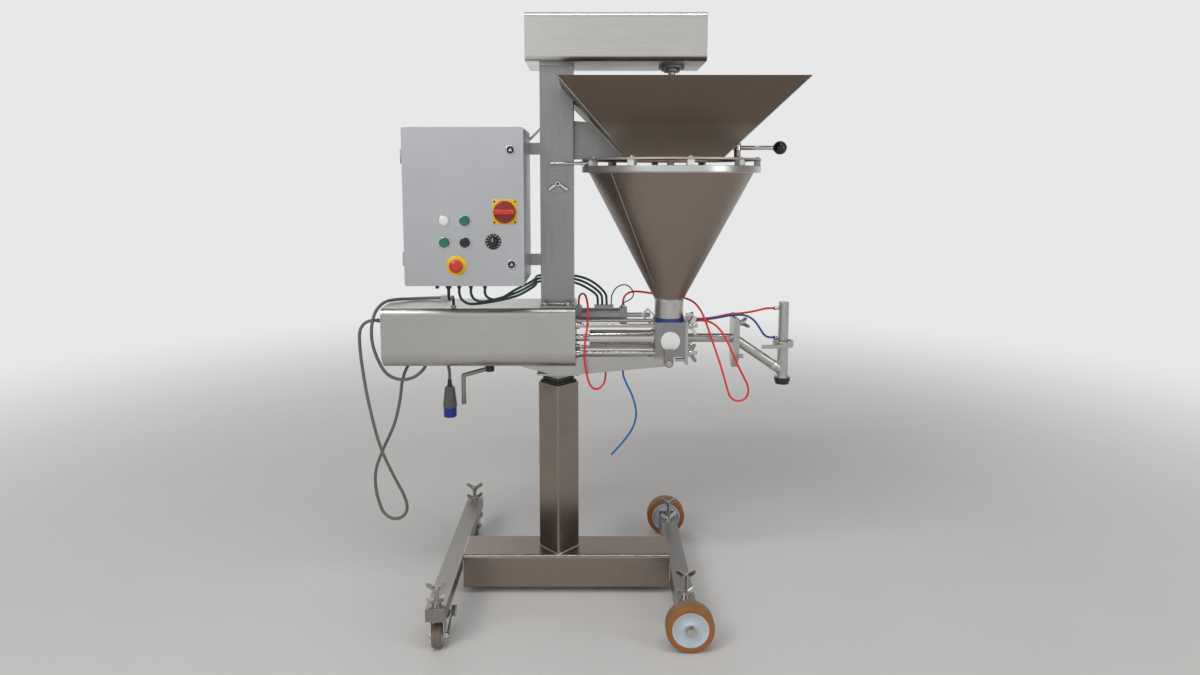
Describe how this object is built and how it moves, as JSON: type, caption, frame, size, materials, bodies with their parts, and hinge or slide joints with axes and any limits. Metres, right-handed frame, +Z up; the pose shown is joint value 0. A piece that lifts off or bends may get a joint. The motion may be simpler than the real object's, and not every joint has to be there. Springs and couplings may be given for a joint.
{
  "type": "pneumatic piston depositor",
  "caption": "Floor-standing piston depositor for food: wheeled stand, height-sliding drive, cone hopper with funnel and stirrer, rotary valve, cut-off nozzle and control box",
  "frame": {"origin": "Centre of the footprint of the object without its cords, on the floor", "axes": "+X from the drive end to the nozzle, +Y from the operator to the back, +Z up"},
  "size_m": [1.2446, 0.697, 1.637],
  "materials": {
    "stainless": "brushed",
    "aluminium": "anodised",
    "black_plastic": "satin",
    "white_plastic": "satin",
    "amber_tread": "satin",
    "grey_tread": "matte",
    "blue_seal": "satin",
    "yellow_plastic": "satin",
    "red_plastic": "satin",
    "green_plastic": "satin",
    "grey_cable": "matte",
    "blue_plug": "satin",
    "green_cable": "matte",
    "red_hose": "gloss"
  },
  "bodies": {
    "base": {"pedestal": "stainless", "left_leg": "stainless", "right_leg": "stainless", "column_bush": "black_plastic", "base_fasteners": "stainless"},
    "lift": {"lift_frame": "stainless", "drive_cover": "stainless", "air_cylinder": "aluminium", "mast": "stainless", "top_cover": "stainless", "agitator_drive": "aluminium", "hopper_cone": "stainless", "neck_seal": "blue_seal", "spacer_blocks": "white_plastic", "rim_bolts": "stainless", "hopper_funnel": "stainless", "valve_block": "stainless", "product_cylinder": "stainless", "tie_rods": "stainless", "outlet_pipe": "stainless", "nozzle_body": "stainless", "nozzle_clamp": "stainless", "cutoff_cylinder": "stainless", "nozzle_tip": "black_plastic", "valve_actuator": "aluminium", "enclosure": "stainless", "cable_glands": "black_plastic", "mains_cable": "grey_cable", "mains_plug": "blue_plug", "control_cables": "green_cable", "air_hoses": "red_hose"},
    "door": {"door": "stainless", "door_fittings": "yellow_plastic"},
    "wheel_front": {"wheel_front": "amber_tread"},
    "wheel_rear": {"wheel_rear": "amber_tread"},
    "fork_front": {"fork_front": "stainless"},
    "fork_rear": {"fork_rear": "stainless"},
    "caster_front": {"caster_front": "grey_tread"},
    "caster_rear": {"caster_rear": "grey_tread"},
    "pedal_front": {"pedal_front": "stainless"},
    "pedal_rear": {"pedal_rear": "stainless"},
    "brake_screw_front": {"brake_screw_front": "stainless"},
    "brake_screw_rear": {"brake_screw_rear": "stainless"},
    "jack_screw_front": {"jack_screw_front": "stainless"},
    "jack_screw_rear": {"jack_screw_rear": "stainless"},
    "agitator": {"agitator": "stainless"},
    "crank": {"crank": "black_plastic"},
    "piston": {"piston": "stainless"},
    "valve_plug": {"valve_plug": "white_plastic"},
    "actuator_rod": {"actuator_rod": "stainless"},
    "plug_strap": {"plug_strap": "stainless"},
    "cutoff_plunger": {"cutoff_plunger": "stainless"},
    "latch_lever": {"latch_lever": "stainless"},
    "ball_lever": {"ball_lever": "black_plastic"},
    "main_switch": {"main_switch": "red_plastic"},
    "speed_knob": {"speed_knob": "black_plastic"},
    "stop_button": {"stop_button": "red_plastic"},
    "button_upper": {"button_upper": "green_plastic"},
    "button_lower": {"button_lower": "green_plastic"},
    "button_black": {"button_black": "black_plastic"}
  },
  "joints": [
    {"name": "lift_slide", "type": "slide", "parent": "base", "child": "lift", "axis": [0, 0, 1], "range_m": [0, 0.2]},
    {"name": "wheel_front_roll", "type": "hinge", "parent": "base", "child": "wheel_front", "pos_m": [0.2656, -0.318, 0.0625], "axis": [0, 1, 0], "continuous": true},
    {"name": "wheel_rear_roll", "type": "hinge", "parent": "base", "child": "wheel_rear", "pos_m": [0.2656, 0.318, 0.0625], "axis": [0, 1, 0], "continuous": true},
    {"name": "fork_front_swivel", "type": "hinge", "parent": "base", "child": "fork_front", "pos_m": [-0.3814, -0.286, 0.06], "axis": [0, 0, 1], "continuous": true},
    {"name": "fork_rear_swivel", "type": "hinge", "parent": "base", "child": "fork_rear", "pos_m": [-0.3814, 0.286, 0.06], "axis": [0, 0, 1], "continuous": true},
    {"name": "caster_front_roll", "type": "hinge", "parent": "fork_front", "child": "caster_front", "pos_m": [-0.3814, -0.304, 0.03], "axis": [1, 0, 0], "continuous": true},
    {"name": "caster_rear_roll", "type": "hinge", "parent": "fork_rear", "child": "caster_rear", "pos_m": [-0.3814, 0.304, 0.03], "axis": [1, 0, 0], "continuous": true},
    {"name": "pedal_front_tip", "type": "hinge", "parent": "fork_front", "child": "pedal_front", "pos_m": [-0.3564, -0.304, 0.03], "axis": [1, 0, 0], "range_deg": [-14, 0]},
    {"name": "pedal_rear_tip", "type": "hinge", "parent": "fork_rear", "child": "pedal_rear", "pos_m": [-0.4064, 0.304, 0.03], "axis": [-1, 0, 0], "range_deg": [-14, 0]},
    {"name": "brake_screw_front_feed", "type": "slide", "parent": "base", "child": "brake_screw_front", "axis": [0, 0, 1], "range_m": [-0.003, 0]},
    {"name": "brake_screw_rear_feed", "type": "slide", "parent": "base", "child": "brake_screw_rear", "axis": [0, 0, 1], "range_m": [-0.003, 0]},
    {"name": "jack_screw_front_feed", "type": "slide", "parent": "base", "child": "jack_screw_front", "axis": [0, 0, 1], "range_m": [-0.026, 0]},
    {"name": "jack_screw_rear_feed", "type": "slide", "parent": "base", "child": "jack_screw_rear", "axis": [0, 0, 1], "range_m": [-0.026, 0]},
    {"name": "agitator_spin", "type": "hinge", "parent": "lift", "child": "agitator", "pos_m": [0.2366, 0, 1.4], "axis": [0, 0, 1], "continuous": true},
    {"name": "crank_turn", "type": "hinge", "parent": "lift", "child": "crank", "pos_m": [-0.2774, -0.02, 0.67], "axis": [0, 0, 1], "continuous": true},
    {"name": "piston_stroke", "type": "slide", "parent": "lift", "child": "piston", "axis": [1, 0, 0], "range_m": [0, 0.15]},
    {"name": "valve_turn", "type": "hinge", "parent": "lift", "child": "valve_plug", "pos_m": [0.2366, 0, 0.744], "axis": [0, 1, 0], "range_deg": [0, 90]},
    {"name": "actuator_stroke", "type": "slide", "parent": "lift", "child": "actuator_rod", "axis": [1, 0, 0], "range_m": [0, 0.1101]},
    {"name": "strap_swing", "type": "hinge", "parent": "lift", "child": "plug_strap", "pos_m": [0.2326, -0.052, 0.682], "axis": [0, 1, 0], "range_deg": [0, 85]},
    {"name": "cutoff_stroke", "type": "slide", "parent": "lift", "child": "cutoff_plunger", "axis": [0, 0, 1], "range_m": [0, 0.05]},
    {"name": "latch_swing", "type": "hinge", "parent": "lift", "child": "latch_lever", "pos_m": [0.0126, -0.062, 1.2415], "axis": [0, 0, 1], "range_deg": [0, 55]},
    {"name": "ball_swing", "type": "hinge", "parent": "lift", "child": "ball_lever", "pos_m": [0.4236, 0, 1.286], "axis": [0, 0, 1], "range_deg": [-60, 60]},
    {"name": "door_swing", "type": "hinge", "parent": "lift", "child": "door", "pos_m": [-0.4634, -0.222, 1.1], "axis": [0, 0, 1], "range_deg": [-110, 0]},
    {"name": "main_switch_turn", "type": "hinge", "parent": "door", "child": "main_switch", "pos_m": [-0.2034, -0.245, 1.117], "axis": [0, 1, 0], "range_deg": [0, 90]},
    {"name": "speed_turn", "type": "hinge", "parent": "door", "child": "speed_knob", "pos_m": [-0.2334, -0.245, 1.042], "axis": [0, 1, 0], "range_deg": [0, 270]},
    {"name": "stop_press", "type": "slide", "parent": "door", "child": "stop_button", "axis": [0, 1, 0], "range_m": [0, 0.004], "stiffness_N_per_m": 400},
    {"name": "button_upper_press", "type": "slide", "parent": "door", "child": "button_upper", "axis": [0, 1, 0], "range_m": [0, 0.004], "stiffness_N_per_m": 400},
    {"name": "button_lower_press", "type": "slide", "parent": "door", "child": "button_lower", "axis": [0, 1, 0], "range_m": [0, 0.004], "stiffness_N_per_m": 400},
    {"name": "button_black_press", "type": "slide", "parent": "door", "child": "button_black", "axis": [0, 1, 0], "range_m": [0, 0.004], "stiffness_N_per_m": 400}
  ],
  "couplings": [
    {"joint": "actuator_stroke", "follows": "valve_turn", "m_per_rad": 0.070028}
  ]
}
